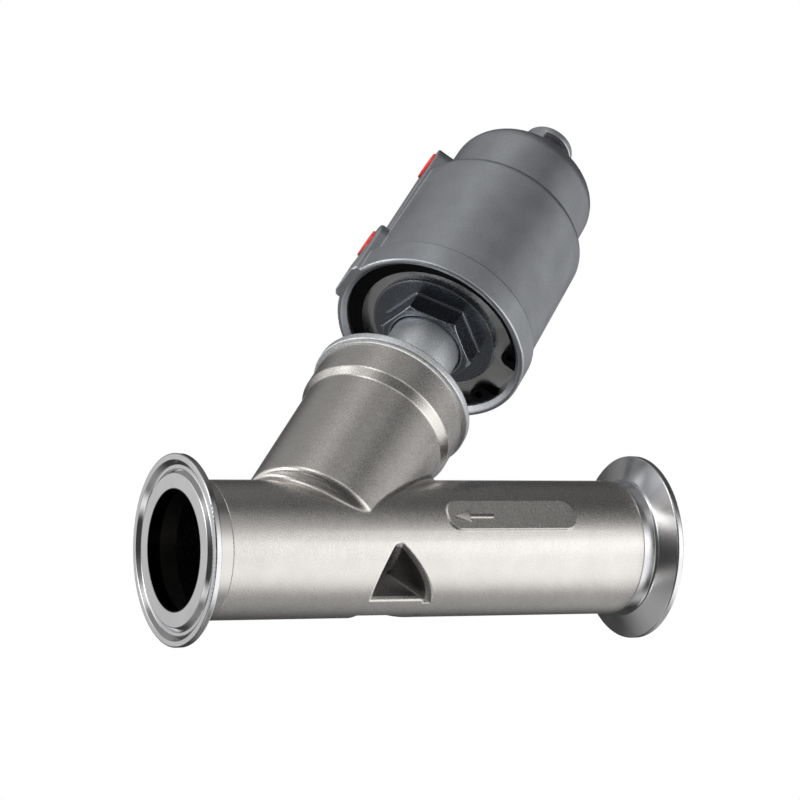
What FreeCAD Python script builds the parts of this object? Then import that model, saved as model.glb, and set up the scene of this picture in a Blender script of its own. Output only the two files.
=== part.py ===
# Pneumatic angle seat valve with clamp ferrule ends.
# Sizes are in millimetres. The row frame has its origin at the centre of the outlet
# ferrule's face, +X along the pipe towards the inlet, and +Z up. The valve axis leans
# towards the inlet in the XZ plane. What lies on the valve axis is drawn in a frame of
# its own: z along that axis from where it crosses the pipe's axis, x towards the inlet.
import FreeCAD
import Part
import math
import os

from FreeCAD import Placement, Rotation, Vector

# Pipe run
face_to_face = 141.5
pipe_r = 18.4
cast_wall = 2.0
branch_from_outlet = 36.5
branch_angle = 49.0

# Clamp ferrules
ferrule_r = 25.25
ferrule_wall = 2.4
ferrule_edge = 1.75
ferrule_slope = 20.0
ferrule_length = 8.3
ferrule_root_round = 1.0
groove_mid_r = 21.8
groove_depth = 1.1
groove_width = 3.4

# Seat web between outlet and inlet passages
seat_bore_r = 14.0
seat_land_width = 1.4
seat_land_height = 1.2
web_outlet_side = 4.5
web_inlet_side = 11.0

# Branch and its collar
branch_wall = 3.1
branch_start = 8.3
branch_root_round = 1.5
branch_foot_round = 1.9
collar_rise = 2.7
collar_round = 1.0
collar_step = 1.3
collar_band = 9.7
body_top = 59.9

# Cast pockets on both sides of the keel under the seat web
pocket_offset = 22.7
pocket_draft = 14.0
throat_wall = 5.2
keel_width = 8.5
keel_slot_width = 1.6
keel_slot_depth = 1.2
pocket_corner_round = 2.0
pocket_rim_round = 0.6

# Raised marking pad on the front of the pipe
pad_length = 39.4
pad_height = 8.8
pad_corner = 3.5
pad_rise = 0.3
pad_from_inlet = 49.1

# Bonnet, its gasket and its neck
gasket_thickness = 0.4
gasket_inset = 0.5
disc_overhang = 1.08
disc_thickness = 2.5
spigot_step = 1.0
spigot_length = 9.3
spigot_chamfer = 0.6
spigot_relief_r = 12.0
spigot_relief_depth = 4.0
spigot_relief_taper = 2.0
neck_wall = 2.7
neck_root_round = 1.0
packing_floor_rise = 2.7

# Stem packing, from the bottom of the neck up
packing_width = 2.5
packing_washer_thickness = 1.5
disc_spring_count = 2
disc_spring_lift = 0.4
disc_spring_thickness = 0.7
packing_ring_count = 4
packing_ring_height = 3.0
packing_ring_lip = 1.2
follower_height = 3.0
wiper_height = 2.2
wiper_lip_drop = 0.8
stack_gap = 0.1

# Gland nut under the end cover
nut_across_flats = 24.0
nut_hex_height = 6.3
nut_flange_r = 18.4
nut_flange_thickness = 1.3
nut_root_round = 0.8
nut_bore_chamfer = 0.8
nut_turn = 42.0

# Actuator housing
skirt_from_body = 28.4
skirt_step = 1.4
skirt_length = 8.6
skirt_edge_round = 0.6
mouth_step = 0.75
mouth_chamfer = 1.3
mouth_land = 1.4
cylinder_bore_r = 25.0
cylinder_wall = 1.9
cylinder_draft = 0.7
cylinder_length = 43.0
cylinder_roof = 8.4
cylinder_roof_slope = 4.0
cylinder_top_round = 3.0
dome_foot_r = 21.9
dome_draft = 0.4
dome_length = 24.1
dome_round = 7.6
dome_wall = 2.8

# Retaining ring and its groove
ring_thickness = 1.8
ring_groove_depth = 0.85
ring_width = 2.85
ring_eccentric = 1.4
ring_lug_r = 3.6
ring_lug_inset = 1.35
ring_lug_angle = 24.0
ring_lug_hole_r = 1.3
ring_lug_hole_inset = 1.0
ring_gap_width = 13.0

# End cover, its seal and the clip above it
cover_flange_thickness = 3.4
cover_spigot_length = 4.0
cover_seal_width = 2.0
cover_groove_depth = 1.7
clip_thickness = 1.4
clip_width = 2.2

# Port rib along the housing
rib_width = 12.0
rib_rise = 0.7
rib_edge_round = 0.4
low_port_width = 14.0
low_port_rise = 2.25
low_port_from_mouth = 16.2
low_port_edge_round = 1.0
skirt_lug_rise = 2.5
skirt_lug_length = 11.0
skirt_lug_bevel = 1.6
high_port_above_cylinder = 3.6
port_r = 3.6
port_depth = 3.0
air_hole_r = 1.2

# Port caps
cap_head_r = 4.2
cap_head_thickness = 0.65
cap_end_gap = 0.3
cap_grip_r = 2.6
cap_grip_depth = 0.25

# Stem
stroke = 13.0
stem_r = 5.0
stem_chamfer = 0.5
stem_foot_rise = 2.2
stem_end_step = 1.0
stem_end_length = 2.0
stem_groove_depth = 1.5
stem_groove_play = 0.3

# Piston and its nut
piston_rest_gap = 2.15
piston_hub_r = 9.0
piston_hub_drop = 2.6
piston_land = 1.25
piston_dish_depth = 2.0
piston_rim = 5.2
piston_dish_slope = 1.0
seal_width = 2.6
seal_depth = 2.2
seal_lip = 0.5
guide_width = 1.6
guide_depth = 1.1
piston_nut_flats = 13.0
piston_nut_height = 6.0

# Indicator rod
indicator_r = 3.0
indicator_tip_round = 1.0
indicator_collar_wall = 1.5
indicator_collar_height = 5.0
indicator_collar_taper = 2.0

# Plug
seal_overlap = 0.7
seat_seal_thickness = 3.0
plug_rim = 0.5
plug_rim_drop = 2.2
plug_side_gap = 0.9
plug_plate = 4.7
plug_hub_r = 9.0
plug_hub_height = 15.0
plug_hub_foot = 1.0
plug_stud_r = 4.0
plug_stud_end = 0.8
retainer_inset = 1.8
retainer_thickness = 2.2
retainer_chamfer = 1.2
plug_nut_flats = 10.0
plug_nut_height = 4.4
plug_pin_r = 0.95
plug_pin_inset = 0.2

# Closing spring
spring_mean_r = 14.3
spring_wire_r = 1.5
spring_coils = 6

# Indicator housing on top
knob_r = 7.65
knob_height = 15.6
knob_wall = 1.1
knob_roof = 1.3
knob_spigot_r = 5.0
window_sill = 2.0
window_head = 2.5
window_middle = -50.0
window_half_angle = 69.0

# Edges
fine_round = 0.3
edge_round = 0.4
soft_round = 0.8
nut_chamfer = 1.0
nut_chamfer_slope = 30.0
nut_sides = 6

# Clearances
running_gap = 0.06
sliding_gap = 0.3
pin_gap = 0.02
foot_gap = 0.4
seat_gap = 0.1
fit_gap = 0.05

# Helpers for cutting and picking edges
overcut = 1.0
reach = 100.0
place_tolerance = 0.01

ORIGIN = Vector(0, 0, 0)
X_AXIS = Vector(1, 0, 0)
Y_AXIS = Vector(0, 1, 0)
Z_AXIS = Vector(0, 0, 1)

# Sizes that follow from those above, seat and plug first
cast_bore_r = pipe_r - cast_wall
ferrule_bore_r = pipe_r - ferrule_wall
seat_top = web_inlet_side + seat_land_height
plug_seal_r = seat_bore_r + seat_land_width + seal_overlap
plug_r = plug_seal_r + plug_rim
seal_base = seat_top + seat_gap
plug_base = seal_base + seat_seal_thickness
plug_top = plug_base + plug_plate
hub_top = plug_base + plug_hub_height
stem_foot = plug_top + stem_foot_rise
plug_pin_z = (stem_foot + hub_top) / 2
retainer_base = seal_base - retainer_thickness

# Body, bonnet and stem
chamber_r = plug_r + plug_side_gap
branch_r = chamber_r + branch_wall
collar_r = branch_r + collar_step
collar_start = body_top - collar_band - collar_rise
spigot_r = chamber_r + spigot_step
chamber_top = body_top - spigot_length
bonnet_base = body_top + gasket_thickness
disc_top = bonnet_base + disc_thickness
disc_r = collar_r + disc_overhang
packing_floor = bonnet_base + packing_floor_rise
neck_bore_r = stem_r + packing_width
neck_r = neck_bore_r + neck_wall
stem_hole_r = stem_r + running_gap
stem_end_r = stem_r - stem_end_step
stem_groove_r = stem_r - stem_groove_depth

# Actuator, from its mouth up
mouth_r = cylinder_bore_r + mouth_step
cylinder_foot_r = cylinder_bore_r + cylinder_wall
cylinder_head_r = cylinder_foot_r - cylinder_draft
skirt_r = cylinder_foot_r + skirt_step
dome_head_r = dome_foot_r - dome_draft
dome_inner_r = dome_head_r - dome_wall
ring_groove_r = mouth_r + ring_groove_depth
skirt_start = body_top + skirt_from_body
skirt_top = skirt_start + skirt_length
ring_base = skirt_start + mouth_chamfer + mouth_land
cover_base = ring_base + ring_thickness + fit_gap
cover_spigot_base = cover_base + cover_flange_thickness
cover_top = cover_spigot_base + cover_spigot_length
nut_top = cover_base - fit_gap
nut_flange_base = nut_top - nut_flange_thickness
nut_base = nut_flange_base - nut_hex_height
clip_base = cover_top + fit_gap
neck_top = clip_base + clip_thickness
cylinder_top = skirt_top + cylinder_length
cylinder_bore_top = cylinder_top - cylinder_roof
dome_top = cylinder_top + dome_length
dome_ceiling = dome_top - dome_wall
rib_height = cylinder_head_r + rib_rise
low_port_height = cylinder_foot_r + low_port_rise
skirt_lug_height = cylinder_foot_r + skirt_lug_rise
low_port_z = skirt_start + low_port_from_mouth
high_port_z = cylinder_top + high_port_above_cylinder

# Piston and indicator
piston_r = cylinder_bore_r - sliding_gap
piston_hub_base = neck_top + piston_rest_gap
piston_base = piston_hub_base + piston_hub_drop
piston_seal_z = piston_base + piston_land + seal_width / 2
piston_guide_z = piston_seal_z + seal_width / 2 + piston_land + guide_width / 2
piston_top = piston_guide_z + guide_width / 2 + piston_land
piston_nut_top = piston_top + piston_nut_height
stem_end = piston_nut_top + stem_end_length
knob_top = dome_top + knob_height
knob_ceiling = knob_top - knob_roof
indicator_tip = knob_ceiling - stroke - sliding_gap

valve_frame = Placement(Vector(branch_from_outlet, 0, 0), Rotation(Y_AXIS, 90 - branch_angle))


def rounded_outline(corners):
    """Closed outline in the XZ plane from (radius, height, rounding) corners."""
    points = [Vector(corner[0], 0, corner[1]) for corner in corners]
    roundings = [corner[2] if len(corner) > 2 else 0 for corner in corners]
    starts = []
    ends = []
    edges = []
    for i, point in enumerate(points):
        back = (points[i - 1] - point).normalize()
        ahead = (points[(i + 1) % len(points)] - point).normalize()
        half_angle = back.getAngle(ahead) / 2
        setback = roundings[i] / math.tan(half_angle)
        starts.append(point + back * setback)
        ends.append(point + ahead * setback)
        if roundings[i] > 0:
            middle = (back + ahead).normalize()
            crown = point + middle * (roundings[i] / math.sin(half_angle) - roundings[i])
            edges.append(Part.Arc(starts[i], crown, ends[i]).toShape())
    for i, end in enumerate(ends):
        following = starts[(i + 1) % len(points)]
        if end.distanceToPoint(following) > Part.Precision.confusion():
            edges.append(Part.LineSegment(end, following).toShape())
    return Part.Wire(Part.sortEdges(edges)[0])


def turned(corners):
    """Solid turned about z from its (radius, height, rounding) section."""
    return Part.Face(rounded_outline(corners)).revolve(ORIGIN, Z_AXIS, 360)


def tube(outer_r, inner_r, base, top):
    """Plain ring between two heights."""
    return turned([(inner_r, base), (outer_r, base), (outer_r, top), (inner_r, top)])


def rod(radius, base, top, x=0.0, y=0.0):
    """Plain round bar parallel to z."""
    return Part.makeCylinder(radius, top - base, Vector(x, y, base))


def block(low, high):
    """Box between two corners."""
    return Part.makeBox(high[0] - low[0], high[1] - low[1], high[2] - low[2], Vector(*low))


def hex_nut(across_flats, seat, free_end, turn=0.0):
    """Hexagon that stands on its seat and is chamfered at its free end."""
    height = abs(free_end - seat)
    corner_r = across_flats / 2 / math.cos(math.pi / nut_sides)
    angles = [math.radians(turn + 360 * i / nut_sides) for i in range(nut_sides + 1)]
    corners = [Vector(corner_r * math.cos(a), corner_r * math.sin(a), 0) for a in angles]
    prism = Part.Face(Part.makePolygon(corners)).extrude(Vector(0, 0, height))
    chamfer_height = nut_chamfer * math.tan(math.radians(nut_chamfer_slope))
    blank = turned([
        (0, 0),
        (corner_r, 0),
        (corner_r, height - chamfer_height),
        (corner_r - nut_chamfer, height),
        (0, height),
    ])
    nut = prism.common(blank)
    if free_end < seat:
        nut = nut.mirror(ORIGIN, Z_AXIS)
    nut.translate(Vector(0, 0, seat))
    return nut


def rounded_where(shape, radius, is_chosen):
    """Shape with the chosen edges rounded."""
    edges = [edge for edge in shape.Edges if is_chosen(shape, edge)]
    return shape.makeFillet(radius, edges)


def meets(shape, edge, radii):
    """True where the round faces at an edge have these radii, smallest first."""
    faces = shape.ancestorsOfType(edge, Part.Face)
    found = sorted(face.Surface.Radius for face in faces if isinstance(face.Surface, Part.Cylinder))
    if len(found) != len(radii):
        return False
    return all(abs(a - b) < place_tolerance for a, b in zip(found, radii))


def placed(shape):
    """Moves a shape drawn on the valve axis into the row frame."""
    moved = shape.copy()
    moved.Placement = valve_frame.multiply(moved.Placement)
    return moved


def in_valve_frame(shape):
    """Moves a shape drawn in the row frame onto the valve axis."""
    moved = shape.copy()
    moved.Placement = valve_frame.inverse().multiply(moved.Placement)
    return moved


def along_pipe(shape, start):
    """Turns a shape drawn along z to lie along the pipe from the given place."""
    moved = shape.copy()
    moved.Placement = Placement(Vector(start, 0, 0), Rotation(Y_AXIS, 90))
    return moved


def pipe_cylinder(radius, start, end):
    """Round bar along the pipe's axis, in the row frame."""
    return Part.makeCylinder(radius, end - start, Vector(start, 0, 0), X_AXIS)


def pocket_cutter():
    """Pocket on one side of the keel, drafted at the throat, in the valve frame."""
    keel_side = keel_width / 2
    lean = (reach - keel_side) * math.tan(math.radians(pocket_draft))
    outline = Part.makePolygon([
        Vector(pocket_offset, keel_side, -reach),
        Vector(reach, keel_side, -reach),
        Vector(reach, reach, -reach),
        Vector(pocket_offset - lean, reach, -reach),
        Vector(pocket_offset, keel_side, -reach),
    ])
    pocket = Part.Face(outline).extrude(Vector(0, 0, branch_start + reach))
    return rounded_where(pocket, pocket_corner_round, is_pocket_corner)


def is_pocket_corner(shape, edge):
    """True for the line where a pocket's drafted wall meets its roof."""
    box = edge.BoundBox
    on_roof = box.ZMin > branch_start - place_tolerance
    return on_roof and box.XMax < pocket_offset + place_tolerance


def keel_slot_cutter():
    """Slot under a pocket's roof, into one side of the keel, in the valve frame."""
    keel_side = keel_width / 2
    low = (pocket_offset, keel_side - keel_slot_depth, branch_start - keel_slot_width)
    high = (reach, keel_side + overcut, branch_start)
    return block(low, high)


def is_pocket_rim(shape, edge):
    """True for the edges where a pocket opens through the pipe's outside."""
    middle = edge.BoundBox.Center
    beside_throat = middle.x > pocket_offset - throat_wall
    under_web = middle.z < branch_start + place_tolerance
    return beside_throat and under_web and meets(shape, edge, [pipe_r])


def is_branch_root(shape, edge):
    """True where the outside of the branch meets the outside of the pipe."""
    return meets(shape, edge, sorted([pipe_r, branch_r]))


def marking_pad():
    """Flat raised pad on the front of the pipe, in the row frame."""
    middle = face_to_face - pad_from_inlet
    low = (middle - pad_length / 2, -pipe_r - pad_rise, -pad_height / 2)
    high = (middle + pad_length / 2, -pipe_r + cast_wall / 2, pad_height / 2)
    return rounded_where(block(low, high), pad_corner, is_pad_corner)


def is_pad_corner(shape, edge):
    """True for the pad's four corner edges, which point away from the pipe."""
    return edge.BoundBox.YLength > pad_rise


def outlet_passage():
    """Bore from the outlet up to the seat web, in the valve frame."""
    bore = in_valve_frame(pipe_cylinder(cast_bore_r, -overcut, face_to_face))
    side = pocket_offset - throat_wall
    return bore.common(block((-reach, -reach, -reach), (side, reach, web_outlet_side)))


def inlet_passage():
    """Bore from the inlet into the chamber, in the valve frame."""
    bore = pipe_cylinder(cast_bore_r, branch_from_outlet / 2, face_to_face + overcut)
    room = block((-reach, -reach, web_inlet_side), (reach, reach, reach))
    return in_valve_frame(bore).common(room)


def body_outside():
    """Outer form of the body: pipe run with keel and pockets, and the leaning branch."""
    pipe = pipe_cylinder(pipe_r, ferrule_length, face_to_face - ferrule_length)
    pipe = in_valve_frame(pipe.fuse(marking_pad()))
    pocket = pocket_cutter()
    slot = keel_slot_cutter()
    pipe = pipe.cut(pocket).cut(pocket.mirror(ORIGIN, Y_AXIS))
    pipe = rounded_where(pipe, pocket_rim_round, is_pocket_rim)
    pipe = pipe.cut(slot).cut(slot.mirror(ORIGIN, Y_AXIS))
    branch = turned([
        (0, branch_start),
        (branch_r, branch_start, branch_foot_round),
        (branch_r, collar_start, collar_round),
        (collar_r, collar_start + collar_rise, collar_round),
        (collar_r, body_top, fine_round),
        (0, body_top),
    ])
    outside = pipe.fuse(branch).removeSplitter()
    root_round = min(branch_root_round, branch_r - pipe_r)
    return rounded_where(outside, root_round, is_branch_root)


def valve_body():
    """Cast body: pipe run, leaning branch, seat web, keel pockets and marking pad."""
    body = body_outside().cut(outlet_passage()).cut(inlet_passage())
    body = body.cut(rod(seat_bore_r, 0, seat_top))
    seat_land = tube(seat_bore_r + seat_land_width, seat_bore_r, web_inlet_side, seat_top)
    body = body.cut(rod(chamber_r, web_inlet_side, chamber_top).cut(seat_land))
    return body.cut(rod(spigot_r + fit_gap, chamber_top, body_top))


def ferrule():
    """Clamp ferrule with its face at zero height."""
    drop = (ferrule_r - pipe_r) * math.tan(math.radians(ferrule_slope))
    half = groove_width / 2
    return turned([
        (ferrule_bore_r, 0),
        (groove_mid_r - half, 0, fine_round),
        (groove_mid_r - half / 3, groove_depth, edge_round),
        (groove_mid_r + half / 3, groove_depth, edge_round),
        (groove_mid_r + half, 0, fine_round),
        (ferrule_r, 0, fine_round),
        (ferrule_r, ferrule_edge, edge_round),
        (pipe_r, ferrule_edge + drop, ferrule_root_round),
        (pipe_r, ferrule_length),
        (ferrule_bore_r, ferrule_length),
    ])


def inlet_ferrule():
    """Ferrule at the inlet, its face turned towards +X."""
    return along_pipe(ferrule().mirror(ORIGIN, Z_AXIS), face_to_face)


def outlet_ferrule():
    """Ferrule at the outlet, its face turned towards -X."""
    return along_pipe(ferrule(), 0)


def bonnet_gasket():
    """Thin ring between the body's top face and the bonnet."""
    return tube(collar_r - gasket_inset, spigot_r + fit_gap, body_top, bonnet_base)


def bonnet():
    """Bonnet: spigot in the body, thin disc on top and the long neck."""
    relief_top = chamber_top + spigot_relief_depth
    return turned([
        (stem_hole_r, relief_top),
        (spigot_relief_r - spigot_relief_taper, relief_top),
        (spigot_relief_r, chamber_top),
        (spigot_r - spigot_chamfer, chamber_top),
        (spigot_r, chamber_top + spigot_chamfer),
        (spigot_r, bonnet_base),
        (disc_r, bonnet_base, fine_round),
        (disc_r, disc_top, edge_round),
        (neck_r, disc_top, neck_root_round),
        (neck_r, neck_top),
        (neck_bore_r, neck_top),
        (neck_bore_r, packing_floor),
        (stem_hole_r, packing_floor),
    ])


def packing_parts():
    """Washer, disc springs, follower, chevron rings, guide bush and wiper in the neck."""
    outer = neck_bore_r - fit_gap
    inner = stem_hole_r
    middle = (outer + inner) / 2
    parts = {}
    level = packing_floor + packing_washer_thickness
    parts["packing_washer"] = tube(outer, inner, packing_floor, level)
    for i in range(disc_spring_count):
        level += stack_gap
        parts["disc_spring_%d" % (i + 1)] = disc_spring(outer, inner, level, i % 2 == 0)
        level += disc_spring_lift + disc_spring_thickness
    level += stack_gap
    parts["packing_follower"] = turned([
        (inner, level),
        (outer, level),
        (outer, level + follower_height),
        (middle, level + follower_height + packing_ring_lip),
        (inner, level + follower_height),
    ])
    level += follower_height
    for i in range(packing_ring_count):
        level += stack_gap
        parts["packing_ring_%d" % (i + 1)] = packing_ring(outer, inner, level)
        level += packing_ring_height
    level += stack_gap
    wiper_base = neck_top - wiper_height
    parts["guide_bush"] = turned([
        (inner, level),
        (middle, level + packing_ring_lip),
        (outer, level),
        (outer, wiper_base - stack_gap),
        (inner, wiper_base - stack_gap),
    ])
    parts["wiper"] = turned([
        (inner, wiper_base),
        (outer, wiper_base),
        (outer, neck_top),
        (middle, neck_top),
        (inner, neck_top - wiper_lip_drop),
    ])
    return parts


def disc_spring(outer, inner, level, rising):
    """Coned spring washer, one of a pair laid back to back."""
    inner_level = level + disc_spring_lift if rising else level
    outer_level = level if rising else level + disc_spring_lift
    return turned([
        (inner, inner_level),
        (outer, outer_level),
        (outer, outer_level + disc_spring_thickness),
        (inner, inner_level + disc_spring_thickness),
    ])


def packing_ring(outer, inner, level):
    """Chevron ring, hollow below and peaked above."""
    middle = (outer + inner) / 2
    top = level + packing_ring_height
    return turned([
        (inner, level),
        (middle, level + packing_ring_lip),
        (outer, level),
        (outer, top),
        (middle, top + packing_ring_lip),
        (inner, top),
    ])


def gland_nut():
    """Hexagon nut with a round flange that bears on the end cover."""
    flange = turned([
        (0, nut_flange_base),
        (nut_flange_r, nut_flange_base, edge_round),
        (nut_flange_r, nut_top),
        (0, nut_top),
    ])
    hexagon = hex_nut(nut_across_flats, nut_flange_base, nut_base, nut_turn)
    nut = rounded_where(hexagon.fuse(flange).removeSplitter(), nut_root_round, is_hexagon_root)
    bore_r = neck_r + fit_gap
    bore = turned([
        (0, nut_base),
        (bore_r + nut_bore_chamfer, nut_base),
        (bore_r, nut_base + nut_bore_chamfer),
        (bore_r, nut_top),
        (0, nut_top),
    ])
    return nut.cut(bore)


def is_hexagon_root(shape, edge):
    """True for the straight edges where the hexagon stands on its flange."""
    at_flange = abs(edge.BoundBox.Center.z - nut_flange_base) < place_tolerance
    return at_flange and isinstance(edge.Curve, Part.Line)


def neck_clip():
    """Ring on the neck above the end cover, which carries the actuator."""
    return tube(neck_r + clip_width, neck_r + fit_gap, clip_base, neck_top)


def rib_bar(width, height, port_z, rounding):
    """Flat-topped bar on the housing with a round end about a port."""
    depth = height - dome_inner_r
    bar = block((-height, -width / 2, skirt_start), (-height + depth, width / 2, port_z))
    end = Part.makeCylinder(width / 2, depth, Vector(-height, 0, port_z), X_AXIS)
    bar = bar.fuse(end).removeSplitter()
    return rounded_where(bar, rounding, is_on_flat_top)


def is_on_flat_top(shape, edge):
    """True for the edges round the outermost face of a rib."""
    return abs(edge.BoundBox.XMax - shape.BoundBox.XMin) < place_tolerance


def skirt_lug():
    """Flat foot of the lower port's boss, on the skirt, bevelled at both sides."""
    half = low_port_width / 2
    low = (-skirt_lug_height, -half, skirt_start)
    high = (-mouth_r - mouth_chamfer, half, skirt_start + skirt_lug_length)
    lug = block(low, high)
    return lug.makeChamfer(skirt_lug_bevel, [edge for edge in lug.Edges if is_lug_side(lug, edge)])


def is_lug_side(shape, edge):
    """True for the two long edges of the lug's outer face."""
    return is_on_flat_top(shape, edge) and edge.BoundBox.ZLength > place_tolerance


def port_cutter(height, port_z, inner_r):
    """Port bore and the air hole behind it."""
    mouth = Vector(-height, 0, port_z)
    bore = Part.makeCylinder(port_r, port_depth, mouth, X_AXIS)
    air_hole = Part.makeCylinder(air_hole_r, height - inner_r + 2 * overcut, mouth, X_AXIS)
    return bore.fuse(air_hole)


def housing_outside():
    """Skirt, cylinder and spring dome, with the port rib and the lower port's boss."""
    turned_part = turned([
        (0, skirt_start),
        (skirt_r, skirt_start, skirt_edge_round),
        (skirt_r, skirt_top, edge_round),
        (cylinder_foot_r, skirt_top, fine_round),
        (cylinder_head_r, cylinder_top, cylinder_top_round),
        (dome_foot_r, cylinder_top, soft_round),
        (dome_head_r, dome_top, dome_round),
        (0, dome_top),
    ])
    rib = rib_bar(rib_width, rib_height, high_port_z, rib_edge_round)
    boss = rib_bar(low_port_width, low_port_height, low_port_z, low_port_edge_round)
    return turned_part.fuse(rib).fuse(boss).fuse(skirt_lug()).removeSplitter()


def housing_cavity():
    """Mouth with the ring's groove, cylinder bore and the room for the spring."""
    ring_groove_base = ring_base - fit_gap
    return turned([
        (0, skirt_start - overcut),
        (mouth_r + mouth_chamfer + overcut, skirt_start - overcut),
        (mouth_r, skirt_start + mouth_chamfer),
        (mouth_r, ring_groove_base),
        (ring_groove_r, ring_groove_base),
        (ring_groove_r, cover_base),
        (mouth_r, cover_base),
        (mouth_r, cover_spigot_base),
        (cylinder_bore_r, cover_spigot_base),
        (cylinder_bore_r, cylinder_bore_top),
        (dome_inner_r, cylinder_bore_top + cylinder_roof_slope),
        (dome_inner_r, dome_ceiling, dome_round - dome_wall),
        (0, dome_ceiling),
    ])


def actuator_housing():
    """Cast housing with its cavity, both ports and the hole for the knob's spigot."""
    housing = housing_outside().cut(housing_cavity())
    housing = housing.cut(port_cutter(low_port_height, low_port_z, cylinder_bore_r))
    housing = housing.cut(port_cutter(rib_height, high_port_z, dome_inner_r))
    return housing.cut(rod(knob_spigot_r + fit_gap, dome_ceiling - overcut, dome_top + overcut))


def retaining_ring():
    """Internal snap ring, wider away from its gap, with two eyed lugs."""
    top = ring_base + ring_thickness
    ring = rod(ring_groove_r - fit_gap, ring_base, top)
    ring = ring.cut(rod(mouth_r - ring_width, ring_base, top, ring_eccentric))
    lug_place_r = mouth_r - ring_lug_inset
    for side in (-1, 1):
        angle = math.radians(side * ring_lug_angle)
        x = lug_place_r * math.cos(angle)
        y = lug_place_r * math.sin(angle)
        lug = rod(ring_lug_r, ring_base, top, x, y).common(rod(mouth_r - fit_gap, ring_base, top))
        hole = rod(ring_lug_hole_r, ring_base, top, x - ring_lug_hole_inset, y)
        ring = ring.fuse(lug).cut(hole)
    half_gap = ring_gap_width / 2
    gap = block((0, -half_gap, ring_base), (reach, half_gap, top))
    return ring.cut(gap).removeSplitter()


def seal_groove(outer_r, depth, width, middle):
    """Groove corners of a round piece, from the groove's lower edge up."""
    return [
        (outer_r, middle - width / 2),
        (outer_r - depth, middle - width / 2),
        (outer_r - depth, middle + width / 2),
        (outer_r, middle + width / 2),
    ]


def end_cover():
    """Turned cover that closes the cylinder, with its seal groove."""
    spigot_outer = cylinder_bore_r - fit_gap
    middle = (cover_spigot_base + cover_top) / 2
    return turned([
        (neck_r + running_gap, cover_base),
        (mouth_r - fit_gap, cover_base),
        (mouth_r - fit_gap, cover_spigot_base),
        (spigot_outer, cover_spigot_base),
        *seal_groove(spigot_outer, cover_groove_depth, cover_seal_width, middle),
        (spigot_outer, cover_top, edge_round),
        (neck_r + running_gap, cover_top),
    ])


def cover_seal():
    """Ring in the end cover's groove."""
    middle = (cover_spigot_base + cover_top) / 2
    half = cover_seal_width / 2 - fit_gap
    outer = cylinder_bore_r - fit_gap
    return tube(outer, outer - cover_groove_depth, middle - half, middle + half)


def port_cap(height, port_z):
    """Push-in cap: thin round head with a shallow grip recess, and a plug."""
    plug_length = port_depth - cap_end_gap
    cap = turned([
        (0, -plug_length),
        (port_r - fit_gap, -plug_length, fine_round),
        (port_r - fit_gap, 0),
        (cap_head_r, 0),
        (cap_head_r, cap_head_thickness, fine_round),
        (cap_grip_r, cap_head_thickness),
        (cap_grip_r - cap_grip_depth, cap_head_thickness - cap_grip_depth),
        (0, cap_head_thickness - cap_grip_depth),
    ])
    cap.Placement = Placement(Vector(-height, 0, port_z), Rotation(Y_AXIS, -90))
    return cap


def stem():
    """Stem with the pins' groove near its foot and the piston's seat near its end."""
    half_groove = plug_pin_r + stem_groove_play / 2
    return turned([
        (0, stem_foot),
        (stem_r - stem_chamfer, stem_foot),
        (stem_r, stem_foot + stem_chamfer),
        (stem_r, plug_pin_z - half_groove),
        (stem_groove_r, plug_pin_z - half_groove),
        (stem_groove_r, plug_pin_z + half_groove),
        (stem_r, plug_pin_z + half_groove),
        (stem_r, piston_hub_base),
        (stem_end_r, piston_hub_base),
        (stem_end_r, stem_end),
        (0, stem_end),
    ])


def piston():
    """Dished piston with seal and guide grooves, on its hub."""
    dish_r = piston_r - piston_rim
    dish_floor = piston_top - piston_dish_depth
    return turned([
        (stem_end_r + fit_gap, piston_hub_base),
        (piston_hub_r, piston_hub_base),
        (piston_hub_r, piston_base, soft_round),
        (piston_r, piston_base),
        *seal_groove(piston_r, seal_depth, seal_width, piston_seal_z),
        *seal_groove(piston_r, guide_depth, guide_width, piston_guide_z),
        (piston_r, piston_top, edge_round),
        (dish_r, piston_top),
        (dish_r - piston_dish_slope, dish_floor),
        (piston_hub_r + piston_dish_slope, dish_floor),
        (piston_hub_r, piston_top),
        (stem_end_r + fit_gap, piston_top),
    ])


def piston_seal():
    """Lip seal in the piston's lower groove."""
    half = seal_width / 2 - fit_gap
    outer = cylinder_bore_r - running_gap
    inner = piston_r - seal_depth + fit_gap
    return turned([
        (inner, piston_seal_z - half),
        (outer - seal_lip, piston_seal_z - half),
        (outer, piston_seal_z),
        (outer - seal_lip, piston_seal_z + half),
        (inner, piston_seal_z + half),
    ])


def piston_guide_ring():
    """Guide band in the piston's upper groove."""
    half = guide_width / 2 - fit_gap
    inner = piston_r - guide_depth + fit_gap
    return tube(cylinder_bore_r - running_gap, inner, piston_guide_z - half, piston_guide_z + half)


def piston_nut():
    """Nut that holds the piston on the stem."""
    nut = hex_nut(piston_nut_flats, piston_top, piston_nut_top)
    return nut.cut(rod(stem_end_r + fit_gap, piston_top, piston_nut_top))


def indicator():
    """Indicator rod, screwed over the stem's upper end."""
    collar_r = stem_end_r + indicator_collar_wall
    collar_top = piston_nut_top + indicator_collar_height
    return turned([
        (stem_end_r + fit_gap, piston_nut_top),
        (collar_r, piston_nut_top),
        (collar_r, collar_top),
        (indicator_r, collar_top + indicator_collar_taper),
        (indicator_r, indicator_tip, indicator_tip_round),
        (0, indicator_tip),
        (0, stem_end + fit_gap),
        (stem_end_r + fit_gap, stem_end + fit_gap),
    ])


def plug_pin_bar(side, radius, half_length):
    """Round bar across the hub, in the stem's groove."""
    x = side * (stem_groove_r + plug_pin_r + sliding_gap / 2)
    start = Vector(x, -half_length, plug_pin_z)
    return Part.makeCylinder(radius, 2 * half_length, start, Y_AXIS)


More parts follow.
